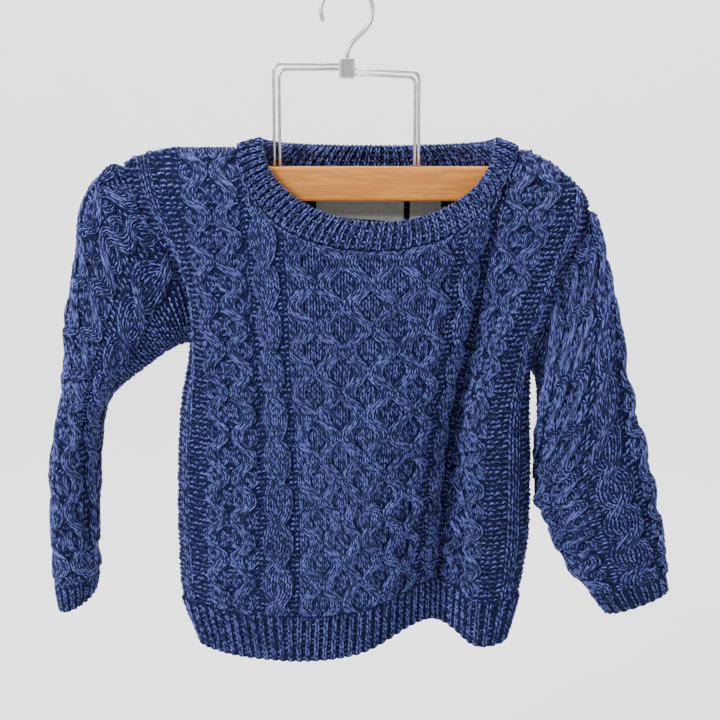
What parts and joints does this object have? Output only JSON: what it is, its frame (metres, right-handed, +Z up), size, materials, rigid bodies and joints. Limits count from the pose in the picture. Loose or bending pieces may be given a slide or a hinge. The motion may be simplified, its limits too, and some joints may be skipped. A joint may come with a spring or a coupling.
{
  "type": "aran sweater on a hanger",
  "caption": "Child's crew-neck aran sweater in marled navy wool, with honeycomb and rope cables front and back, hanging on a wooden clamp hanger with a wire frame and hook.",
  "frame": {"origin": "inner top of the hook, where the rail carries it", "axes": "+X to the viewer's right along the bar, -Y the way the garment's front faces, +Z up"},
  "size_m": [0.5357, 0.1322, 0.5603],
  "materials": {
    "wool": "marled navy and denim-blue wool, cable knit",
    "label": "off-white woven tape, bare",
    "wood": "clear satin lacquer on beech",
    "steel": "plated wire"
  },
  "bodies": {
    "root": {"body_front": "wool", "body_back": "wool", "sleeve_left": "wool", "sleeve_right": "wool", "neckband": "wool", "label_neck": "label", "label_size": "label", "slat_front": "wood", "slat_back": "wood", "hook_collar": "steel", "wire_outer_left": "steel", "wire_inner_left": "steel", "wire_outer_right": "steel", "wire_inner_right": "steel", "hook": "steel"}
  },
  "joints": []
}
